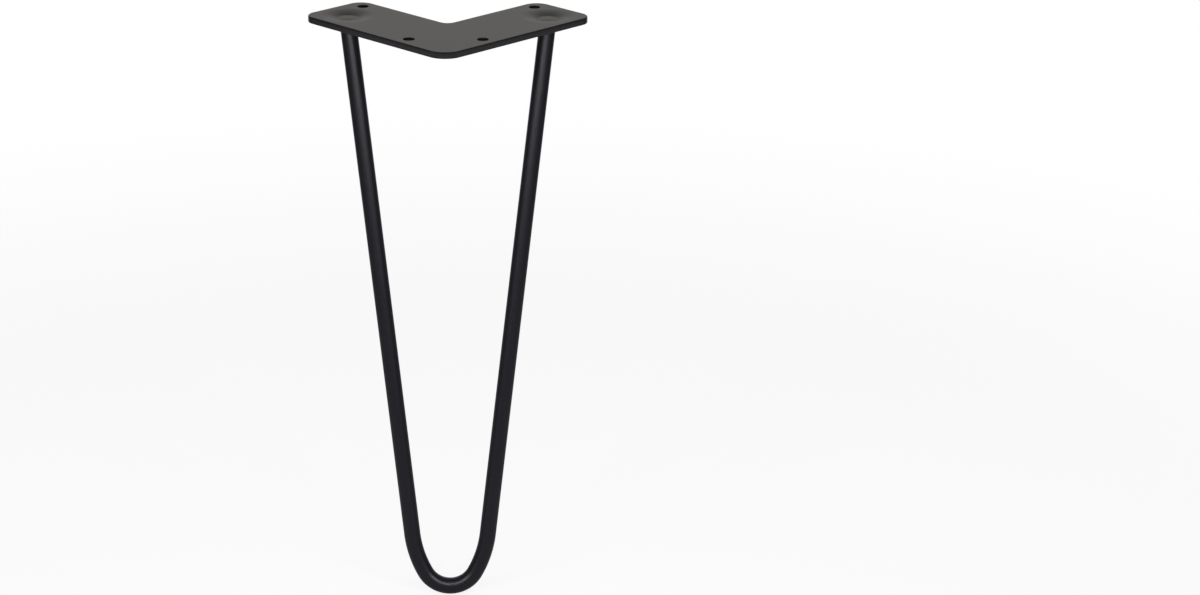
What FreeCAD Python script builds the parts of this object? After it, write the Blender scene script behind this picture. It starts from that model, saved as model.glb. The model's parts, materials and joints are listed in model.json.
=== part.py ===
import FreeCAD, Part
import math
import os

# A hairpin table leg: one round bar bent into a V and welded by its two ends under an L-shaped
# plate, which screws into the corner of a table top. The whole leg is powder coated.
#
# Millimetres. The origin is on the plate's top face, midway between the two screw holes nearest
# its outer corner. +Z goes up into the table top, +X runs from one arm of the plate to the other,
# and -Y points out through the plate's outer corner.

# The plate, cut from flat steel. "Along" is measured along an arm from the outer corner, and
# "across" from the arm's outer edge inwards.
plate_thickness = 4.0
arm_length = 122.0
arm_width = 47.5
arm_angle_deg = 90.0
outer_corner_radius = 12.0
inner_corner_radius = 5.0
arm_end_corner_radius = 9.0
edge_rounding = 0.5

# The screw holes: one near the outer corner and one near the end of each arm.
screw_hole_diameter = 6.5
screw_hole_chamfer = 0.4
corner_hole_along = 38.5
corner_hole_to_outer_edge = 8.5
end_hole_to_arm_end = 10.5
end_hole_to_inner_edge = 8.5

# The bar and where its two ends meet the plate's underside.
rod_diameter = 10.0
leg_height = 355.0
rod_to_arm_end = 20.0
rod_to_outer_edge = 18.5
lean_deg = 8.0

# The bend springs open after it is made: a tight curve at the foot, and a wide one up each side.
# Both radii are to the middle of the bar.
foot_bend_radius = 17.5
side_bend_radius = 67.0
foot_bend_half_turn_deg = 61.0

# The weld round each end of the bar: how far it reaches out over the plate.
weld_reach = 4.0

# Above each weld the heat has drawn the plate's top face down into a shallow dish, with a low
# mound in its middle.
dish_radius = 17.0
dish_depth = 1.6
mound_radius = 6.5
mound_depth = 1.25
dish_rim_slope_deg = 3.0

rod_radius = rod_diameter / 2
half_angle = math.radians(arm_angle_deg / 2)
lean = math.radians(lean_deg)


def from_outer_corner(side, along, across):
    """X and Y from the plate's outer corner, on the left arm (side -1) or the right (side 1)."""
    x = side * (along * math.sin(half_angle) - across * math.cos(half_angle))
    y = along * math.cos(half_angle) + across * math.sin(half_angle)
    return x, y


origin_setback = from_outer_corner(1, corner_hole_along, corner_hole_to_outer_edge)[1]


def on_arm(side, along, across, height=0.0):
    """A point in the part's frame, given by its place on one arm and its height."""
    x, y = from_outer_corner(side, along, across)
    return FreeCAD.Vector(x, y - origin_setback, height)


def rod_seat(side):
    """Where the middle of the bar meets the plate's underside."""
    return on_arm(side, arm_length - rod_to_arm_end, rod_to_outer_edge, -plate_thickness)


def screw_hole_places():
    """The middle of each screw hole on the top face."""
    places = []
    for side in (-1, 1):
        places.append(on_arm(side, corner_hole_along, corner_hole_to_outer_edge))
        places.append(on_arm(side, arm_length - end_hole_to_arm_end, arm_width - end_hole_to_inner_edge))
    return places


def rounded_outline(corners):
    """A closed wire through (point, radius) corners, each rounded by an arc."""
    edges = []
    previous_end = None
    first_start = None
    for i, (point, radius) in enumerate(corners):
        to_last = (corners[i - 1][0] - point).normalize()
        to_next = (corners[(i + 1) % len(corners)][0] - point).normalize()
        half_corner = to_last.getAngle(to_next) / 2
        start = point + to_last * (radius / math.tan(half_corner))
        end = point + to_next * (radius / math.tan(half_corner))
        inward = (to_last + to_next).normalize()
        middle = point + inward * (radius / math.sin(half_corner) - radius)
        if previous_end is None:
            first_start = start
        else:
            edges.append(Part.LineSegment(previous_end, start).toShape())
        edges.append(Part.Arc(start, middle, end).toShape())
        previous_end = end
    edges.append(Part.LineSegment(previous_end, first_start).toShape())
    return Part.Wire(edges)


def lies_flat(edge):
    return edge.BoundBox.ZLength < 1e-6


def is_hole_edge(edge):
    """The whole circle at either end of a screw hole."""
    return lies_flat(edge) and edge.isClosed()


def dish_cutter(place):
    """What the weld's heat has taken out of the top face: a dish round a low mound."""
    rim_height = 1.0
    profile = Part.BSplineCurve()
    profile.interpolate(
        Points=[
            FreeCAD.Vector(0, 0, -mound_depth),
            FreeCAD.Vector(mound_radius, 0, -dish_depth),
            FreeCAD.Vector(dish_radius, 0, 0),
        ],
        InitialTangent=FreeCAD.Vector(1, 0, 0),
        FinalTangent=FreeCAD.Vector(1, 0, math.tan(math.radians(dish_rim_slope_deg))),
    )
    middle_top = FreeCAD.Vector(0, 0, rim_height)
    rim_top = FreeCAD.Vector(dish_radius, 0, rim_height)
    outline = Part.Wire([
        profile.toShape(),
        Part.LineSegment(FreeCAD.Vector(dish_radius, 0, 0), rim_top).toShape(),
        Part.LineSegment(rim_top, middle_top).toShape(),
        Part.LineSegment(middle_top, FreeCAD.Vector(0, 0, -mound_depth)).toShape(),
    ])
    cutter = Part.Face(outline).revolve(FreeCAD.Vector(0, 0, 0), FreeCAD.Vector(0, 0, 1), 360)
    cutter.translate(FreeCAD.Vector(place.x, place.y, 0))
    return cutter


def make_plate():
    corner_to_inner_corner = arm_width / math.tan(half_angle)
    outline = rounded_outline([
        (on_arm(1, 0, 0), outer_corner_radius),
        (on_arm(1, arm_length, 0), arm_end_corner_radius),
        (on_arm(1, arm_length, arm_width), arm_end_corner_radius),
        (on_arm(1, corner_to_inner_corner, arm_width), inner_corner_radius),
        (on_arm(-1, arm_length, arm_width), arm_end_corner_radius),
        (on_arm(-1, arm_length, 0), arm_end_corner_radius),
    ])
    plate = Part.Face(outline).extrude(FreeCAD.Vector(0, 0, -plate_thickness))
    for place in screw_hole_places():
        bottom = FreeCAD.Vector(place.x, place.y, -plate_thickness)
        plate = plate.cut(Part.makeCylinder(screw_hole_diameter / 2, plate_thickness, bottom))
    rounding = min(edge_rounding, 0.4 * plate_thickness)
    rim = [edge for edge in plate.Edges if lies_flat(edge) and not is_hole_edge(edge)]
    plate = plate.makeFillet(rounding, rim)
    chamfer = min(screw_hole_chamfer, 0.4 * plate_thickness)
    plate = plate.makeChamfer(chamfer, [edge for edge in plate.Edges if is_hole_edge(edge)])
    for side in (-1, 1):
        plate = plate.cut(dish_cutter(rod_seat(side)))
    return plate


def make_rod():
    """The bent bar, swept along its middle line in a plane that leans out towards the foot."""
    seat = rod_seat(1)
    foot_height = rod_radius - leg_height
    seat_above_foot = seat.z - foot_height
    foot = FreeCAD.Vector(0, seat.y - seat_above_foot * math.tan(lean), foot_height)
    up = FreeCAD.Vector(0, math.sin(lean), math.cos(lean))

    def in_plane(across, rise, side):
        return foot + FreeCAD.Vector(side * across, 0, 0) + up * rise

    # The right half in the leaning plane, from the foot up: the tight arc turns about a point
    # straight above the foot, and the wide arc about one on the same line, further away.
    half_turn = math.radians(foot_bend_half_turn_deg)
    centre_gap = side_bend_radius - foot_bend_radius
    side_centre_across = -centre_gap * math.sin(half_turn)
    side_centre_rise = foot_bend_radius + centre_gap * math.cos(half_turn)
    seat_across = seat.x
    seat_rise = seat_above_foot / math.cos(lean)

    # The straight leg touches the wide arc where a line from the seat is tangent to it.
    to_seat_across = seat_across - side_centre_across
    to_seat_rise = seat_rise - side_centre_rise
    seat_distance = math.hypot(to_seat_across, to_seat_rise)
    leg_end_angle = math.atan2(to_seat_rise, to_seat_across) - math.acos(side_bend_radius / seat_distance)
    arc_join_angle = half_turn - math.pi / 2
    arc_middle_angle = (leg_end_angle + arc_join_angle) / 2

    def on_side_arc(angle, side):
        across = side_centre_across + side_bend_radius * math.cos(angle)
        rise = side_centre_rise + side_bend_radius * math.sin(angle)
        return in_plane(across, rise, side)

    # Each end runs on past the seat and is then cut off flush with the plate's underside.
    ends = {}
    for side in (-1, 1):
        leg_foot = on_side_arc(leg_end_angle, side)
        leg_top = in_plane(seat_across, seat_rise, side)
        ends[side] = leg_top + (leg_top - leg_foot).normalize() * rod_diameter
    path = Part.Wire([
        Part.LineSegment(ends[-1], on_side_arc(leg_end_angle, -1)).toShape(),
        Part.Arc(
            on_side_arc(leg_end_angle, -1),
            on_side_arc(arc_middle_angle, -1),
            on_side_arc(arc_join_angle, -1),
        ).toShape(),
        Part.Arc(on_side_arc(arc_join_angle, -1), foot, on_side_arc(arc_join_angle, 1)).toShape(),
        Part.Arc(
            on_side_arc(arc_join_angle, 1),
            on_side_arc(arc_middle_angle, 1),
            on_side_arc(leg_end_angle, 1),
        ).toShape(),
        Part.LineSegment(on_side_arc(leg_end_angle, 1), ends[1]).toShape(),
    ])
    start_direction = on_side_arc(leg_end_angle, -1) - ends[-1]
    section = Part.Wire([Part.Circle(ends[-1], start_direction, rod_radius).toShape()])
    bar = path.makePipeShell([section], True, False)
    print("bar: volume over section times length", bar.Volume / (math.pi * rod_radius ** 2 * path.Length))

    above = bar.BoundBox
    trim = Part.makeBox(above.XLength, above.YLength, above.ZMax + plate_thickness)
    trim.translate(FreeCAD.Vector(above.XMin, above.YMin, -plate_thickness))
    return bar.cut(trim)


def make_weld(side, rod):
    """A ring of weld filling the corner between the bar and the plate's underside at 45 degrees."""
    toe_radius = rod_radius + weld_reach
    downwards = FreeCAD.Vector(0, 0, -1)
    heap = Part.makeCone(toe_radius, 0, toe_radius, rod_seat(side), downwards)
    return heap.cut(rod)


os.makedirs("parts", exist_ok=True)
hairpin_rod = make_rod()
pieces = {
    "mounting_plate": make_plate(),
    "hairpin_rod": hairpin_rod,
    "left_weld": make_weld(-1, hairpin_rod),
    "right_weld": make_weld(1, hairpin_rod),
}
for name, shape in pieces.items():
    print(name, "solids", len(shape.Solids), "valid", shape.isValid(), "volume", round(shape.Volume, 1))
    shape.exportStep("parts/" + name + ".step")
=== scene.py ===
import json
import math

import bmesh
import bpy
from mathutils import Matrix, Vector


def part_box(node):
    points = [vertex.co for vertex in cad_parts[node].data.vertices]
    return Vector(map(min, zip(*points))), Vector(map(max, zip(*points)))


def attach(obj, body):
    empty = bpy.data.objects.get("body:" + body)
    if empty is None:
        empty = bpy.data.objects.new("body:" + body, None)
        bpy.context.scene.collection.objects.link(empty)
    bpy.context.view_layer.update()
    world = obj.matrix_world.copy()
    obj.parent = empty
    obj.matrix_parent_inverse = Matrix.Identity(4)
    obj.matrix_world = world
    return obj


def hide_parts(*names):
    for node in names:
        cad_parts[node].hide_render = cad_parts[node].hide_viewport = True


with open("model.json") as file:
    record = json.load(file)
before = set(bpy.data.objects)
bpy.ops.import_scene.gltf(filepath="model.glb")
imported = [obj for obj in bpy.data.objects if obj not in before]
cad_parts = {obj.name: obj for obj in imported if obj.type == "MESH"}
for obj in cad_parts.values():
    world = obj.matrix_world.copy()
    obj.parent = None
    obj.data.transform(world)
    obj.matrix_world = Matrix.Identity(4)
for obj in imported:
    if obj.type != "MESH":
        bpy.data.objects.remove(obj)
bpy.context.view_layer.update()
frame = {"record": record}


# The hairpin rod: one length of 10 mm round steel bar, bent cold round a former into a long V.
# The bend springs open, so a wide curve runs up each side of the tight one at the foot, and the
# whole V leans. Its two ends are cut off flush where they are welded under the plate.
rod_radius = 0.005
rod_sides = 72
foot_bend_radius = 0.0175
side_bend_radius = 0.067
foot_bend_half_turn = math.radians(61)
foot_bend_steps = 40
side_bend_steps = 24
lean = math.radians(8)
bar_crease = math.radians(40)
merge_distance = 1e-6

# Each end of the bar sits in the middle of its weld, under the plate, and the foot on the floor.
mounts = {mount["name"]: mount for mount in frame["record"]["mounts"]}
plate_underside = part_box("hairpin_rod")[1].z
right_weld_low, right_weld_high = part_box("right_weld")
rod_seat = (right_weld_low + right_weld_high) / 2
rod_seat.z = plate_underside
foot = Vector(mounts["floor_contact"]["pos_m"])
foot.z += rod_radius

# The V is bent upright, with the middle of the foot at the origin, and leaned over afterwards.
centre_gap = side_bend_radius - foot_bend_radius
foot_bend_centre = Vector((0, 0, foot_bend_radius))
side_bend_centre = foot_bend_centre + centre_gap * Vector(
    (-math.sin(foot_bend_half_turn), 0, math.cos(foot_bend_half_turn))
)
seat_rise = (rod_seat.z - foot.z) / math.cos(lean)
centre_to_seat = Vector((rod_seat.x, 0, seat_rise)) - side_bend_centre
leg_end_angle = math.atan2(centre_to_seat.z, centre_to_seat.x) - math.acos(
    side_bend_radius / centre_to_seat.length
)
leg_direction = Vector((-math.sin(leg_end_angle), 0, math.cos(leg_end_angle)))
side_bend_turn = leg_end_angle - (foot_bend_half_turn - math.pi / 2)
bend_axis = Vector((0, -1, 0))

rod = bmesh.new()
bmesh.ops.create_circle(
    rod,
    segments=rod_sides,
    radius=rod_radius,
    matrix=Matrix.Rotation(math.pi / 2, 4, "Y"),
)
bent = bmesh.ops.spin(
    rod,
    geom=rod.verts[:] + rod.edges[:],
    cent=foot_bend_centre,
    axis=bend_axis,
    angle=foot_bend_half_turn,
    steps=foot_bend_steps,
)
bent = bmesh.ops.spin(
    rod,
    geom=bent["geom_last"],
    cent=side_bend_centre,
    axis=bend_axis,
    angle=side_bend_turn,
    steps=side_bend_steps,
)
last_ring = [part for part in bent["geom_last"] if isinstance(part, bmesh.types.BMEdge)]
straight = bmesh.ops.extrude_edge_only(rod, edges=last_ring)
straight_end = [part for part in straight["geom"] if isinstance(part, bmesh.types.BMVert)]
bmesh.ops.translate(rod, verts=straight_end, vec=leg_direction * seat_rise)

leaning = Matrix.Translation(foot) @ Matrix.Rotation(-lean, 4, "X")
bmesh.ops.transform(rod, verts=rod.verts[:], matrix=leaning)

# The straight runs on past its seat, so it is cut off there. The left half mirrors the right.
cut = bmesh.ops.bisect_plane(
    rod,
    geom=rod.verts[:] + rod.edges[:] + rod.faces[:],
    plane_co=rod_seat,
    plane_no=(0, 0, 1),
    clear_outer=True,
)
cut_edges = [part for part in cut["geom_cut"] if isinstance(part, bmesh.types.BMEdge)]
bmesh.ops.contextual_create(rod, geom=cut_edges)
bmesh.ops.mirror(
    rod,
    geom=rod.verts[:] + rod.edges[:] + rod.faces[:],
    axis="X",
    merge_dist=merge_distance,
)


def finished_piece(name, shape, crease):
    """The shown object, smooth except where its faces meet at more than the crease angle."""
    bmesh.ops.remove_doubles(shape, verts=shape.verts[:], dist=merge_distance)
    bmesh.ops.recalc_face_normals(shape, faces=shape.faces[:])
    mesh = bpy.data.meshes.new(name)
    shape.to_mesh(mesh)
    shape.free()
    mesh.shade_smooth()
    mesh.set_sharp_from_angle(angle=crease)
    piece = bpy.data.objects.new(name, mesh)
    bpy.context.scene.collection.objects.link(piece)
    return piece


def add_node(tree, kind, inputs, **settings):
    """A new shading node. Each input is joined to another node's output, or set to a value."""
    node = tree.nodes.new(kind)
    for setting, value in settings.items():
        setattr(node, setting, value)
    for socket, source in inputs.items():
        if isinstance(source, bpy.types.NodeSocket):
            tree.links.new(source, node.inputs[socket])
        else:
            node.inputs[socket].default_value = source
    return node


def make_powder_coat():
    """Black powder paint baked on: satin, with a fine grain and a faint orange peel."""
    coat_black = (0.0042, 0.0042, 0.0084, 1)
    coat_grey = (0.0056, 0.0056, 0.0098, 1)
    cloud_size = 0.03
    cloud_detail = 3
    peel_size = 0.0016
    peel_height = 0.00003
    grain_size = 0.0004
    grain_height = 0.000015
    fine_detail = 2
    grain_darkest = 0.3
    grain_lightest = 0.7
    smoothest = 0.33
    roughest = 0.41

    coat = bpy.data.materials.new("black_powder_coat")
    coat.use_nodes = True
    tree = coat.node_tree
    place = add_node(tree, "ShaderNodeTexCoord", {}).outputs["Object"]

    def noise(size, detail):
        pattern = {"Vector": place, "Scale": 1 / size, "Detail": detail}
        return add_node(tree, "ShaderNodeTexNoise", pattern).outputs["Fac"]

    clouds = noise(cloud_size, cloud_detail)
    peel = noise(peel_size, fine_detail)
    grain = noise(grain_size, fine_detail)

    tones = {"Factor": clouds, "A": coat_black, "B": coat_grey}
    tone = add_node(tree, "ShaderNodeMix", tones, data_type="RGBA")
    roughness_range = {
        "Value": grain,
        "From Min": grain_darkest,
        "From Max": grain_lightest,
        "To Min": smoothest,
        "To Max": roughest,
    }
    gloss = add_node(tree, "ShaderNodeMapRange", roughness_range)
    peel_relief = add_node(tree, "ShaderNodeBump", {"Height": peel, "Distance": peel_height})
    grain_on_peel = {
        "Height": grain,
        "Distance": grain_height,
        "Normal": peel_relief.outputs["Normal"],
    }
    relief = add_node(tree, "ShaderNodeBump", grain_on_peel)

    shader = tree.nodes["Principled BSDF"]
    tree.links.new(tone.outputs["Result"], shader.inputs["Base Color"])
    tree.links.new(gloss.outputs["Result"], shader.inputs["Roughness"])
    tree.links.new(relief.outputs["Normal"], shader.inputs["Normal"])
    return coat


powder_coat = make_powder_coat()
hairpin_rod = finished_piece("bent_bar", rod, bar_crease)
hairpin_rod.data.materials.append(powder_coat)
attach(hairpin_rod, "root")
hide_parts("hairpin_rod")


# The mounting plate: an L cut from 4 mm flat steel, with its corners rounded and four plain
# screw holes. The heat of the welding below has drawn its top face down into a shallow dish
# above each end of the bar, with a low mound in the middle.
plate_thickness = 0.004
arm_length = 0.122
arm_width = 0.0475
outer_corner_radius = 0.012
inner_corner_radius = 0.005
arm_end_corner_radius = 0.009
corner_steps = 16
edge_rounding = 0.0006
edge_steps = 4
edge_margin = 0.0003
square_edge_turn = math.radians(80)
plate_crease = math.radians(40)
arm_turn = math.radians(45)
screw_hole_radius = mounts["corner_screw_holes"]["dims"]["hole_r_mm"] / 1000
screw_hole_sides = 64
corner_hole_along = 0.0385
corner_hole_to_outer_edge = 0.0085
end_hole_to_arm_end = 0.0105
end_hole_to_inner_edge = 0.0085
rod_to_arm_end = 0.020
rod_to_outer_edge = 0.0185

dish_radius = 0.017
dish_depth = 0.0016
groove_radius = 0.0065
mound_depth = 0.00125
dish_steepening = 1.9
dish_rings = 32
dish_sides = 96

# It is drawn flat first, with its outer corner at the origin and an arm along each axis. Narrow
# strips frame the outline and the holes, so that the rounding of the edges stays off the face.
strip_width = edge_rounding + edge_margin
plate = bmesh.new()
open_edges = []


def inset_strip(face, width):
    """Frames the face with a strip just inside its edges, and gives the strip's outer edges."""
    strip = bmesh.ops.inset_individual(plate, faces=[face], thickness=width, use_even_offset=True)
    return [edge for part in strip["faces"] for edge in part.edges if edge.is_boundary]


corner_radii = {
    (0, 0): outer_corner_radius,
    (arm_length, 0): arm_end_corner_radius,
    (arm_length, arm_width): arm_end_corner_radius,
    (arm_width, arm_width): inner_corner_radius,
    (arm_width, arm_length): arm_end_corner_radius,
    (0, arm_length): arm_end_corner_radius,
}
corner_points = [plate.verts.new((x, y, 0)) for x, y in corner_radii]
plate.faces.new(corner_points)
for point, radius in zip(corner_points, corner_radii.values()):
    bmesh.ops.bevel(
        plate,
        geom=[point],
        offset=radius,
        offset_type="OFFSET",
        segments=corner_steps,
        profile=0.5,
        affect="VERTICES",
        material=-1,
    )
[blank] = plate.faces[:]
inset_strip(blank, strip_width)
open_edges += blank.edges[:]
bmesh.ops.delete(plate, geom=[blank], context="FACES_ONLY")

holes_on_one_arm = [
    (corner_hole_along, corner_hole_to_outer_edge),
    (arm_length - end_hole_to_arm_end, arm_width - end_hole_to_inner_edge),
]
for along, across in holes_on_one_arm:
    for x, y in ((along, across), (across, along)):
        hole_circle = bmesh.ops.create_circle(
            plate,
            cap_ends=True,
            segments=screw_hole_sides,
            radius=screw_hole_radius + strip_width,
            matrix=Matrix.Translation((x, y, 0)),
        )
        hole = hole_circle["verts"][0].link_faces[0]
        open_edges += inset_strip(hole, strip_width)
        bmesh.ops.delete(plate, geom=[hole], context="FACES_ONLY")

# Rings of points, ready for the dishes to sink. The innermost ring is a fan round the middle.
seat_along = arm_length - rod_to_arm_end
dish_middles = [Vector((seat_along, rod_to_outer_edge)), Vector((rod_to_outer_edge, seat_along))]
for middle in dish_middles:
    dish_circle = bmesh.ops.create_circle(
        plate,
        cap_ends=True,
        segments=dish_sides,
        radius=dish_radius,
        matrix=Matrix.Translation(middle.to_3d()),
    )
    dish = dish_circle["verts"][0].link_faces[0]
    ring_width = dish_radius / dish_rings
    open_edges += inset_strip(dish, ring_width)
    for ring in range(2, dish_rings):
        inset_strip(dish, ring_width)
    bmesh.ops.poke(plate, faces=[dish])

bmesh.ops.triangle_fill(plate, use_beauty=True, edges=open_edges, normal=(0, 0, 1))
thickened = bmesh.ops.extrude_face_region(plate, geom=plate.faces[:], use_keep_orig=True)
underside = [part for part in thickened["geom"] if isinstance(part, bmesh.types.BMVert)]
bmesh.ops.translate(plate, verts=underside, vec=(0, 0, -plate_thickness))
bmesh.ops.recalc_face_normals(plate, faces=plate.faces[:])
square_edges = [edge for edge in plate.edges if edge.calc_face_angle() > square_edge_turn]
bmesh.ops.bevel(
    plate,
    geom=square_edges,
    offset=edge_rounding,
    offset_type="OFFSET",
    segments=edge_steps,
    profile=0.5,
    affect="EDGES",
    material=-1,
)


def dish_height(radius):
    """How far the dish's surface lies below the flat face, this far from its middle."""
    if radius < groove_radius:
        share = (1 - math.cos(math.pi * radius / groove_radius)) / 2
        return mound_depth + (dish_depth - mound_depth) * share
    return dish_depth * ((dish_radius - radius) / (dish_radius - groove_radius)) ** dish_steepening


for point in plate.verts:
    on_top = point.co.z > -edge_margin
    for middle in dish_middles:
        from_middle = (point.co.xy - middle).length
        if on_top and from_middle < dish_radius:
            point.co.z -= dish_height(from_middle)

# Turned by half a right angle, its corner holes lie on the X axis and its corner points to -Y.
corner_setback = (corner_hole_along + corner_hole_to_outer_edge) * math.cos(arm_turn)
onto_frame = Matrix.Translation((0, -corner_setback, 0)) @ Matrix.Rotation(arm_turn, 4, "Z")
bmesh.ops.transform(plate, verts=plate.verts[:], matrix=onto_frame)
mounting_plate = finished_piece("corner_plate", plate, plate_crease)
mounting_plate.data.materials.append(powder_coat)
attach(mounting_plate, "root")
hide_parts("mounting_plate")


# The two welds: a ring of weld metal run round each end of the bar, filling the corner between
# it and the plate's underside. The bead is laid in short overlapping puddles, which leave a
# ripple each, and its start and end overlap in a small lump.
weld_reach = 0.004
weld_drop = 0.004
weld_root = 0.0005
bead_steps = 8
bead_bulge = 0.0006
ripple_count = 30
ripple_height = 0.00022
ripple_sweep = 0.9
lump_height = 0.0004
lump_spread = 0.35
weld_sides = 300
weld_crease = math.radians(60)
toe_share = 0.001
rod_slope_x = leg_direction.x / (leg_direction.z * math.cos(lean))
rod_slope_y = math.tan(lean)


def make_weld(side):
    """One ring of weld, on the left end of the bar (side -1) or on the right (side 1)."""
    weld = bmesh.new()

    # The bead's face bulges between its toes on the plate and on the bar, and its root runs a
    # little way into both.
    toe_on_plate = Vector((rod_radius + weld_reach, 0, 0))
    toe_on_rod = Vector((rod_radius - weld_root, 0, -weld_drop - weld_root))
    outward = Vector((weld_drop, 0, -weld_reach)).normalized()
    profile = []
    for step in range(bead_steps + 1):
        share = step / bead_steps
        bulge = bead_bulge * math.sin(math.pi * share)
        profile.append(toe_on_plate.lerp(toe_on_rod, share) + outward * bulge)
    profile.append(Vector((rod_radius - weld_root, 0, weld_root)))
    profile.append(Vector((rod_radius + weld_reach, 0, weld_root)))
    points = [weld.verts.new(point) for point in profile]
    lines = [weld.edges.new(pair) for pair in zip(points, points[1:] + points[:1])]
    bmesh.ops.spin(
        weld,
        geom=points + lines,
        cent=(0, 0, 0),
        axis=(0, 0, 1),
        angle=math.tau,
        steps=weld_sides,
        use_merge=True,
    )
    bmesh.ops.remove_doubles(weld, verts=weld.verts[:], dist=merge_distance)

    # Each point of the bead's face is lifted by the ripple that it lies on. The two toes stay.
    for point in weld.verts:
        across = (rod_radius + weld_reach - math.hypot(point.co.x, point.co.y)) / weld_reach
        on_face = toe_share < across < 1 - toe_share and point.co.z < -merge_distance
        if not on_face:
            continue
        angle = math.atan2(point.co.y, point.co.x)
        crest = math.sin(math.pi * across)
        puddle = (ripple_count * angle / math.tau + ripple_sweep * crest) % 1
        lift = ripple_height * (1 - (2 * puddle - 1) ** 2) * crest
        lift += lump_height * crest * math.exp(-(angle / lump_spread) ** 2)
        away = Vector((math.cos(angle), math.sin(angle), -1)).normalized()
        point.co += away * lift

    # The ring follows the slanting bar down from its seat.
    follow_rod = Matrix.Identity(4)
    follow_rod[0][2] = side * rod_slope_x
    follow_rod[1][2] = rod_slope_y
    seat = Vector((side * rod_seat.x, rod_seat.y, rod_seat.z))
    bmesh.ops.transform(weld, verts=weld.verts[:], matrix=Matrix.Translation(seat) @ follow_rod)
    return weld


weld_beads = []
for side, name in ((-1, "left_weld"), (1, "right_weld")):
    bead = finished_piece(name + "_bead", make_weld(side), weld_crease)
    bead.data.materials.append(powder_coat)
    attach(bead, "root")
    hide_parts(name)
    weld_beads.append(bead)


# The floor: a pale sheet that the foot just touches, fading into the white room at its rim. It
# shows nearly white and still takes the leg's soft shadow, and it can be seen through from below.
floor_size = 2.4
floor_rim_starts = 0.45
floor_rim_ends = 1.1

# The paper's colour as the camera sees it and as it lights the leg, and the share of plain white
# mixed into it, to the camera and in what the coat mirrors.
floor_to_camera = (0.9, 0.9, 0.9, 1)
floor_to_leg = (0.3, 0.3, 0.3, 1)
floor_white_share = 0.86
floor_mirrored_share = 0.1

floor_shape = bmesh.new()
bmesh.ops.create_grid(
    floor_shape,
    x_segments=1,
    y_segments=1,
    size=floor_size / 2,
    matrix=Matrix.Translation((0, 0, mounts["floor_contact"]["pos_m"][2])),
)
floor_mesh = bpy.data.meshes.new("floor")
floor_shape.to_mesh(floor_mesh)
floor_shape.free()
floor = bpy.data.objects.new("floor", floor_mesh)
bpy.context.scene.collection.objects.link(floor)


def make_floor_paper():
    """Matt paper. The camera sees it nearly plain white, and it fades out towards the rim."""
    paper = bpy.data.materials.new("floor_paper")
    paper.use_nodes = True
    tree = paper.node_tree
    tree.nodes.remove(tree.nodes["Principled BSDF"])
    ray = add_node(tree, "ShaderNodeLightPath", {}).outputs

    colours = {"Factor": ray["Is Camera Ray"], "A": floor_to_leg, "B": floor_to_camera}
    colour = add_node(tree, "ShaderNodeMix", colours, data_type="RGBA")
    matt = add_node(tree, "ShaderNodeBsdfDiffuse", {"Color": colour.outputs["Result"]})
    white = add_node(tree, "ShaderNodeEmission", {})
    mirrored = {0: ray["Is Glossy Ray"], 1: floor_mirrored_share}
    mirrored_white = add_node(tree, "ShaderNodeMath", mirrored, operation="MULTIPLY")
    shown = {0: ray["Is Camera Ray"], 1: floor_white_share, 2: mirrored_white.outputs["Value"]}
    shown_white = add_node(tree, "ShaderNodeMath", shown, operation="MULTIPLY_ADD")
    sheet = add_node(tree, "ShaderNodeMixShader", {
        "Fac": shown_white.outputs["Value"],
        1: matt.outputs["BSDF"],
        2: white.outputs["Emission"],
    })

    place = add_node(tree, "ShaderNodeTexCoord", {}).outputs["Object"]
    to_foot = {0: place, 1: mounts["floor_contact"]["pos_m"]}
    from_foot = add_node(tree, "ShaderNodeVectorMath", to_foot, operation="DISTANCE")
    fading_range = {
        "Value": from_foot.outputs["Value"],
        "From Min": floor_rim_starts,
        "From Max": floor_rim_ends,
    }
    fading = add_node(tree, "ShaderNodeMapRange", fading_range, interpolation_type="SMOOTHSTEP")
    underside_shown = add_node(tree, "ShaderNodeNewGeometry", {}).outputs["Backfacing"]
    clearest = {0: fading.outputs["Result"], 1: underside_shown}
    see_through = add_node(tree, "ShaderNodeMath", clearest, operation="MAXIMUM")
    clear = add_node(tree, "ShaderNodeBsdfTransparent", {})
    fading_sheet = add_node(tree, "ShaderNodeMixShader", {
        "Fac": see_through.outputs["Value"],
        1: sheet.outputs["Shader"],
        2: clear.outputs["BSDF"],
    })
    surface = tree.nodes["Material Output"].inputs["Surface"]
    tree.links.new(fading_sheet.outputs["Shader"], surface)
    return paper


floor_mesh.materials.append(make_floor_paper())


# The light: three soft boxes in front light the bar, its welds and the floor. Weak ones, low down
# and overhead, light the plate, because its flat top face would mirror the strong ones as glare.
# The room round them is plain, with a pale backdrop behind the leg.
light_aim = Vector((0, 0.02, -0.15))
bar_softboxes = {
    "left_softbox": (Vector((-1.37, -1.46, 0.87)), 0.4, 0.6, 12.2),
    "right_softbox": (Vector((1.37, -1.46, 0.87)), 0.4, 0.6, 12.2),
    "middle_softbox": (Vector((0, -0.42, 0.09)), 0.54, 0.15, 1.5),
}
plate_softboxes = {
    "low_left_softbox": (Vector((-0.8, -0.1, -0.24)), 0.5, 0.2, 0.25),
    "low_right_softbox": (Vector((0.8, -0.1, -0.24)), 0.5, 0.2, 0.25),
    "low_middle_softbox": (Vector((0, -0.5, -0.2)), 4.0, 0.3, 2.5),
    "overhead_softbox": (Vector((0, 0, 1.0)), 1.6, 1.6, 4.0),
}
room_light = 0.4
room_mirrored = 0.09
backdrop_shown = 1.0
backdrop_mirrored = 0.69
room_white = (1, 1, 1, 1)
backdrop_warmth = (1, 0.98, 0.92, 1)

# How far back a mirrored ray points, from -1 to 1, where the room ends and the backdrop starts.
room_ends_at = 0.5
backdrop_starts_at = 0.95


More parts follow.
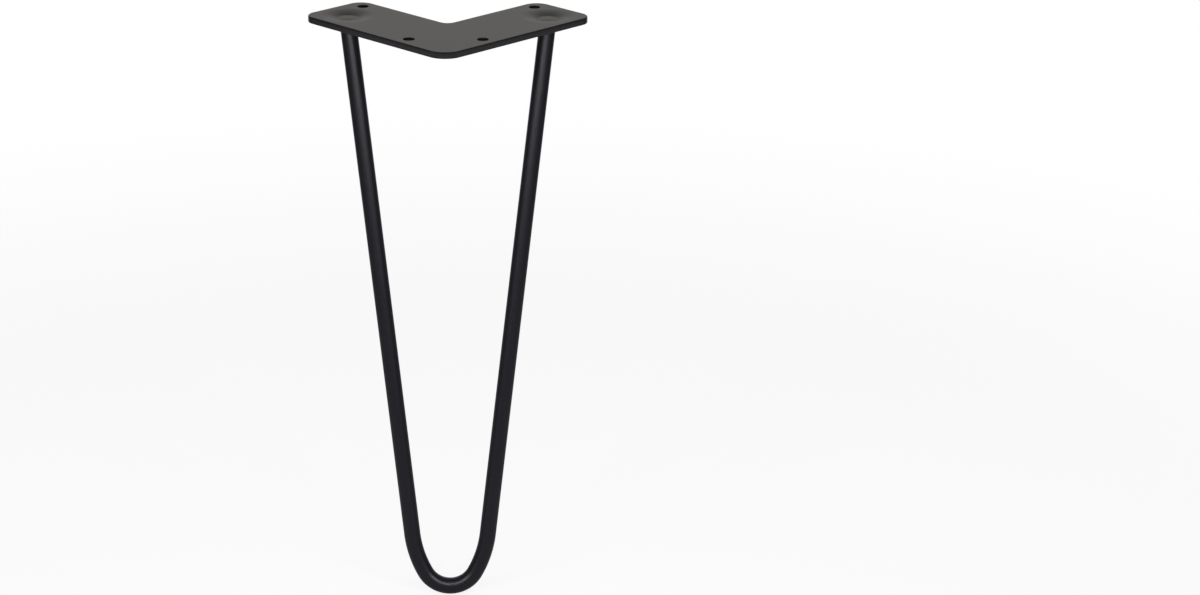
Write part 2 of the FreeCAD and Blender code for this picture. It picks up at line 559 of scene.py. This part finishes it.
def hang_softboxes(softboxes, lit_name, lit_objects):
    """Soft boxes, by name: place, width, height and watts. They light only the lit objects."""
    lit = bpy.data.collections.new(lit_name)
    for lit_object in lit_objects:
        lit.objects.link(lit_object)
    for name, (place, width, height, watts) in softboxes.items():
        light = bpy.data.lights.new(name, "AREA")
        light.shape = "RECTANGLE"
        light.size = width
        light.size_y = height
        light.energy = watts
        softbox = bpy.data.objects.new(name, light)
        softbox.location = place
        softbox.rotation_euler = (light_aim - place).to_track_quat("-Z", "Y").to_euler()
        softbox.visible_camera = False
        softbox.light_linking.receiver_collection = lit
        bpy.context.scene.collection.objects.link(softbox)


hang_softboxes(bar_softboxes, "bar_and_floor", [hairpin_rod, *weld_beads, floor])
hang_softboxes(plate_softboxes, "plate", [mounting_plate])


def make_room():
    """Even light from a plain room. The coat mirrors it dark, with a pale backdrop behind."""
    room = bpy.data.worlds.new("room")
    room.use_nodes = True
    tree = room.node_tree
    ray = add_node(tree, "ShaderNodeLightPath", {}).outputs
    direction = add_node(tree, "ShaderNodeTexCoord", {}).outputs["Generated"]
    axes = add_node(tree, "ShaderNodeSeparateXYZ", {"Vector": direction})
    backdrop_range = {
        "Value": axes.outputs["Y"],
        "From Min": room_ends_at,
        "From Max": backdrop_starts_at,
        "To Min": room_mirrored,
        "To Max": backdrop_mirrored,
    }
    mirrored = add_node(
        tree, "ShaderNodeMapRange", backdrop_range, interpolation_type="SMOOTHSTEP"
    )

    strength = room_light
    strengths = {
        "Is Glossy Ray": mirrored.outputs["Result"],
        "Is Transmission Ray": backdrop_shown,
        "Is Camera Ray": backdrop_shown,
    }
    for kind_of_ray, chosen in strengths.items():
        choice = {"Factor": ray[kind_of_ray], "A": strength, "B": chosen}
        strength = add_node(tree, "ShaderNodeMix", choice).outputs["Result"]
    tints = {"Factor": ray["Is Glossy Ray"], "A": room_white, "B": backdrop_warmth}
    tint = add_node(tree, "ShaderNodeMix", tints, data_type="RGBA")

    background = tree.nodes["Background"]
    tree.links.new(tint.outputs["Result"], background.inputs["Color"])
    tree.links.new(strength, background.inputs["Strength"])
    return room


bpy.context.scene.world = make_room()


# The camera: as in the photograph, looking down at the plate from in front and a little to the
# right, from far enough off that the two prongs hardly converge.
camera_place = Vector((0.040787, -1.559463, 0.428026))
camera_look_down = math.radians(20.593)
camera_turn_right = math.radians(1.820)
camera_roll = math.radians(0.718)
sensor_width = 36
photo_width_pixels = 1200
focal_length_pixels = 2803.5

camera_data = bpy.data.cameras.new("camera")
camera_data.sensor_width = sensor_width
camera_data.lens = focal_length_pixels / photo_width_pixels * sensor_width
camera = bpy.data.objects.new("camera", camera_data)
camera.matrix_world = (
    Matrix.Translation(camera_place)
    @ Matrix.Rotation(-camera_turn_right, 4, "Z")
    @ Matrix.Rotation(math.pi / 2 - camera_look_down, 4, "X")
    @ Matrix.Rotation(camera_roll, 4, "Z")
)
bpy.context.scene.collection.objects.link(camera)
bpy.context.scene.camera = camera
bpy.context.scene.view_settings.view_transform = "Standard"
